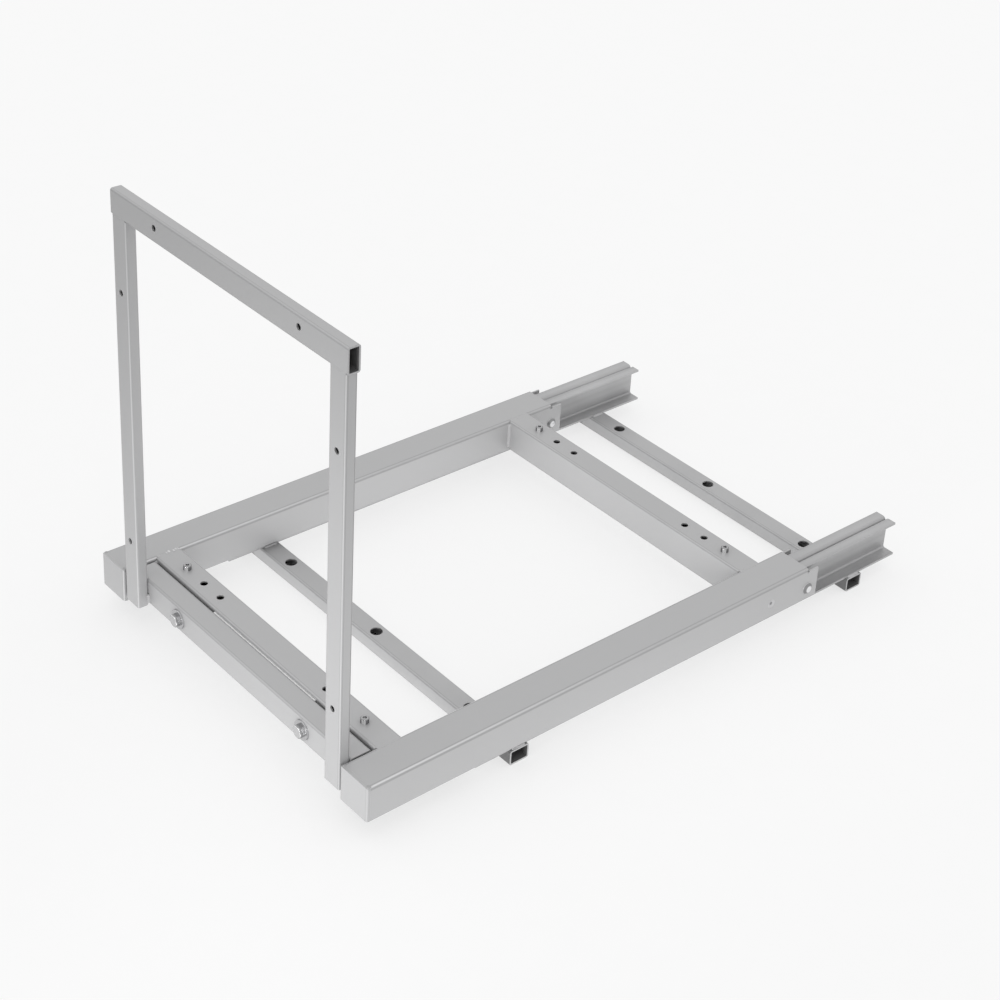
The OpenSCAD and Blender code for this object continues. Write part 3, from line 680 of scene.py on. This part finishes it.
# Crossbar welds: an upright bead in each corner between crossbar and channel, and a seam
# that fills the groove on top, by the channel's bend. The seams are ground flush, but the
# front crossbar's left one is left rough.
def ground_seam(vertices, faces, start, end, section, across, up, proud, seed):
    # The section lies across and up from the seam's line, and its free face gets the lumps.
    chance = random.Random(seed)
    start, end, across, up = (Vector(v) for v in (start, end, across, up))
    length = (end - start).length
    station_step = 0.0005
    lump_pitch = 0.004
    lump_narrow, lump_wide = 0.0006, 0.0013
    lump_limit = 1.2
    lean_width = 1 / 2.2
    end_round = 0.001
    stations = max(8, int(length / station_step))
    lumps = [(chance.uniform(0, length), chance.uniform(lump_narrow, lump_wide), chance.uniform(0.2, 1),
              chance.uniform(0, 1)) for _ in range(int(length / lump_pitch) + 1)]
    base = len(vertices)
    for i in range(stations + 1):
        along = length * i / stations
        taper = min(1, along / end_round, (length - along) / end_round)
        for u, w, free in section:
            lift = sum(height * math.exp(-((along - centre) / width) ** 2 - ((free - lean) / lean_width) ** 2)
                       for centre, width, height, lean in lumps) if free else 0
            vertices.append(start.lerp(end, i / stations) + across * u
                            + up * (w + proud * min(lift, lump_limit) * taper))
    ring = len(section)
    flip = (end - start).dot(across.cross(up)) < 0
    for i in range(stations):
        for k in range(ring):
            a = base + i * ring + k
            b = base + i * ring + (k + 1) % ring
            quad = (a, b, b + ring, a + ring)
            faces.append(quad[::-1] if flip else quad)
    last = base + stations * ring
    for first, turn_over in ((base, not flip), (last, flip)):
        cap = [first + k for k in range(ring)]
        faces.append(tuple(cap[::-1] if turn_over else cap))


# The filled groove's outline, with for each point how far across the free face it lies, or
# nought where the metal holds it.
def groove_section(radius, skin, root=-0.0004, lip=0.0006, below=-0.00002):
    arc_steps, face_steps = 6, 8
    free_start, free_end = 0.12, 0.88
    root_depth = 0.9
    bend = [(radius - (radius + skin) * math.sin(t), (radius + skin) * math.cos(t) - radius, 0)
            for t in (math.pi / 2 * k / arc_steps for k in range(arc_steps + 1))]
    face = [(root + (radius + lip) * part, below, free_start + (free_end - free_start) * part)
            for part in (k / face_steps for k in range(face_steps + 1))]
    return face[::-1] + [(root, -radius * root_depth, 0)] + [p for p in bend[::-1] if p[0] > 0]


# Lacquer rubbed brighter where a seam stands proud of the given level.
def proud_lacquer(name, colour, level, start=0.0001, full=0.0005, proud_shade=1.6):
    material = silver_lacquer(name, colour, line=0.0, crest=0.0)
    tree = material.node_tree
    shader = next(n for n in tree.nodes if n.type == "BSDF_PRINCIPLED")
    place = node(tree, "SeparateXYZ", Vector=node(tree, "TexCoord").outputs["Object"])
    proud = node(tree, "MapRange", Value=place.outputs["Z"], From_Min=level + start,
                 From_Max=level + full)
    paint = shader.inputs["Base Color"].links[0].from_socket
    tree.links.new(blended(tree, proud.outputs[0], paint, times(colour, proud_shade)),
                   shader.inputs["Base Color"])
    return material


vertices, faces = [], []
corner_bead = 0.0024
corner_inset = 0.0025
channel_bend = 0.003
seam_skin = -0.0002
seam_inset = 0.0015
rough_proud, flush_proud = 0.0011, 0.0001
bar_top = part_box("rear_crossbar")[1][2]
for bar in ("front_crossbar", "rear_crossbar"):
    low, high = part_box(bar)
    for way, end_x in ((-1, low[0]), (1, high[0])):
        for face_y, out in ((low[1], -1), (high[1], 1)):
            weld_run(vertices, faces, (end_x, face_y, low[2] + corner_inset),
                     (end_x, face_y, high[2] - corner_inset), (-way, 0, 0), (0, out, 0), corner_bead,
                     f"{bar}{way}{out}")
        rough = bar == "front_crossbar" and way < 0
        ground_seam(vertices, faces, (end_x, low[1] + seam_inset, high[2]),
                    (end_x, high[1] - seam_inset, high[2]), groove_section(channel_bend, seam_skin),
                    (way, 0, 0), (0, 0, 1), rough_proud if rough else flush_proud, f"{bar}{way}")
crossbar_welds = mesh_object("crossbar_welds", vertices, faces, proud_lacquer(
    "crossbar_weld_lacquer", silver, bar_top))
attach(crossbar_welds, "carriage")

# Cap screws, clamp bolts, washers, nuts and spacer bar: bought steel parts, zinc plated, with the fine
# spangle of the plating. Much of their light and shade is painted: dark rims, a painted gleam on one side of
# the dark grey screws, and near white forward faces on the bolts.
screw_grey = (0.30, 0.30, 0.305)
bolt_white = (0.97, 0.97, 0.98)
washer_grey = (0.66, 0.66, 0.67)
spacer_white = (0.95, 0.95, 0.95)
gleam_white = (0.98, 0.98, 0.98)
front_right = (0.60, -0.80, 0.0)
spangle_scale, stain_scale = 900.0, 300.0
spangle_swing, spangle_base = 0.1, 0.95
stain_contrast, stain_shift = 1.5, -0.6
stained_shade, rubbed_plating_shade = 0.82, 1.15


# Rim darkens what is seen at a slant, top shades the faces that look up, flats those that look neither
# forward nor back, and gleam is the way that the one bright side faces. All are painted light: rim paints
# dark reflections at the edges, top and flats paint light and shade by which way a face looks, and gleam
# paints a highlight.
def bright_zinc(name, colour, roughness=(0.16, 0.34), rim=0.55, top=1, flats=1, gleam=None):
    material, tree = empty_material(name)
    coords = node(tree, "TexCoord").outputs["Object"]
    edges = group_node(tree, rubbed_edges, Vector=coords, Radius=plated_edge)
    spangle = node(tree, "TexVoronoi", Vector=coords, Scale=spangle_scale)
    stain = node(tree, "TexNoise", Vector=coords, Scale=stain_scale, Detail=3.0)
    shade = math_node(tree, "MULTIPLY_ADD", spangle.outputs["Distance"], spangle_swing, spangle_base)
    plated = scaled_colour(tree, colour, shade)
    stained = math_node(tree, "MULTIPLY_ADD", stain.outputs["Fac"], stain_contrast, stain_shift, clamp=True)
    dull = blended(tree, stained, plated, times(colour, stained_shade))
    bright = blended(tree, edges.outputs["Mask"], dull, times(colour, rubbed_plating_shade))
    slant = node(tree, "LayerWeight", Blend=0.5).outputs["Facing"]
    slant = node(tree, "MapRange", Value=slant, From_Min=0.4, From_Max=0.75).outputs[0]
    shaded = blended(tree, slant, bright, times(colour, 1 - rim))
    normal = node(tree, "NewGeometry").outputs["Normal"]
    facing = node(tree, "SeparateXYZ", Vector=normal)
    if top != 1:
        upward = node(tree, "MapRange", Value=facing.outputs["Z"], From_Min=0.8, From_Max=0.95)
        shaded = blended(tree, upward.outputs[0], shaded, times(colour, top))
    if gleam:
        toward = node(tree, "VectorMath", i0=normal, i1=gleam)
        toward.operation = "DOT_PRODUCT"
        lit_side = node(tree, "MapRange", Value=toward.outputs["Value"], From_Min=0.84, From_Max=0.9)
        shaded = blended(tree, lit_side.outputs[0], shaded, gleam_white)
    if flats != 1:
        lengthwise = math_node(tree, "ABSOLUTE", facing.outputs["Y"])
        aside = node(tree, "MapRange", Value=lengthwise, From_Min=0.6, From_Max=0.2)
        shaded = blended(tree, aside.outputs[0], shaded, times(colour, flats))
    gloss = node(tree, "MapRange", Value=stain.outputs["Fac"], To_Min=roughness[0], To_Max=roughness[1])
    bump = node(tree, "Bump", Strength=0.08, Distance=0.0001, Height=spangle.outputs["Distance"],
                Normal=edges.outputs["Normal"])
    shader = node(tree, "BsdfPrincipled", Base_Color=shaded, Metallic=1.0,
                  Roughness=gloss.outputs[0], Normal=bump.outputs[0])
    node(tree, "OutputMaterial", Surface=shader.outputs[0])
    return material


# The screws' tops are painted lighter and one side painted with a gleam; the bolts' forward faces are near
# white, a painted highlight, their other flats painted shade.
dress(bright_zinc("screw_zinc", screw_grey, rim=0.8, top=1.3, gleam=front_right), "crossbar_screws")
dress(bright_zinc("bolt_zinc", bolt_white, rim=0.8, flats=0.4), "clamp_bolts", "clamp_nuts")
dress(bright_zinc("washer_zinc", washer_grey, rim=0.5), "clamp_washers")
# The spacer bar is near white, brighter than zinc: a painted highlight, so that its top shows as a bright
# strip in the shaded slit.
dress(bright_zinc("spacer_zinc", spacer_white, (0.4, 0.6), rim=0.0), "spacer_bar")

# Load and lift axles: turned stub axles of zinc plated steel, riveted into the channel
# walls, the load axles with a domed head outside, the lift axles flush and punched.
# The domed heads take a lighter zinc, a painted highlight, with a ring of painted shade round their steep
# edge; the punch marks get a dark disc.
highlight_head_zinc = (0.85, 0.85, 0.86)
head_shoulder = (0.0036, 0.0052)
punch_mark = (0.0, 0.0014)
for side in ("left", "right"):
    name = f"{side}_load_axles"
    dress(turned_zinc(name + "_zinc", highlight_head_zinc, middle(name), shoulder=head_shoulder), name)
    name = f"{side}_lift_axles"
    dress(turned_zinc(name + "_zinc", zinc, middle(name), shoulder=punch_mark, dark_ring_depth=0.6), name)

# Front frame: a front tube, two posts and a top rail of rectangular tube, welded into an
# upright frame for the cupboard door and sprayed like the carriage.
# Their bends get painted dark lines and painted highlights, strongest on the left post, and the top rail's
# inner faces are darker near its open ends.
dress(silver_lacquer("front_tube_lacquer", silver, line=0.2, crest=0.0), "front_tube")
dress(silver_lacquer("left_post_lacquer", silver, line=0.04, crest=0.42), "left_post")
dress(silver_lacquer("right_post_lacquer", silver, line=0.2, crest=0.16), "right_post")
dress(silver_lacquer("top_rail_lacquer", silver, line=0.16, crest=0.04, hollow=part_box("top_rail")),
      "top_rail")

# Front frame welds: the top rail's joints are filled and ground flush, while the front
# tube keeps a rippled bead along its top behind each post and a short one at its foot.
vertices, faces = [], []
tube_bend = 0.002
seam_lift = 0.00003
seam_proud = 0.00006
joint_inset = 0.0012
bead_end = 0.002
joint_bead, foot_bead = 0.0012, 0.0022
foot_low, foot_high = 0.001, 0.010
rail_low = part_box("top_rail")[0]
tube_low, tube_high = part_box("front_tube")
for side, way in (("left", -1), ("right", 1)):
    low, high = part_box(f"{side}_post")
    section = groove_section(tube_bend, seam_skin)
    for face_y, out in ((low[1], -1), (high[1], 1)):
        flush_y = face_y - out * seam_lift
        ground_seam(vertices, faces, (low[0] + joint_inset, flush_y, rail_low[2]),
                    (high[0] - joint_inset, flush_y, rail_low[2]), section, (0, 0, 1), (0, out, 0),
                    seam_proud, f"{side}{out}")
    inner_x = high[0] if way < 0 else low[0]
    weld_run(vertices, faces, (inner_x, low[1] + bead_end, rail_low[2]),
             (inner_x, high[1] - bead_end, rail_low[2]), (-way, 0, 0), (0, 0, -1), joint_bead, f"{side}in")
    weld_run(vertices, faces, (low[0] + bead_end, high[1], tube_high[2]),
             (high[0] - bead_end, high[1], tube_high[2]), (0, 1, 0), (0, 0, 1), foot_bead, f"{side}top")
    weld_run(vertices, faces, (inner_x, high[1], tube_low[2] + foot_low),
             (inner_x, high[1], tube_low[2] + foot_high), (-way, 0, 0), (0, -1, 0), foot_bead,
             f"{side}foot")
front_frame_welds = mesh_object("front_frame_welds", vertices, faces, bead_lacquer)
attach(front_frame_welds, "carriage")
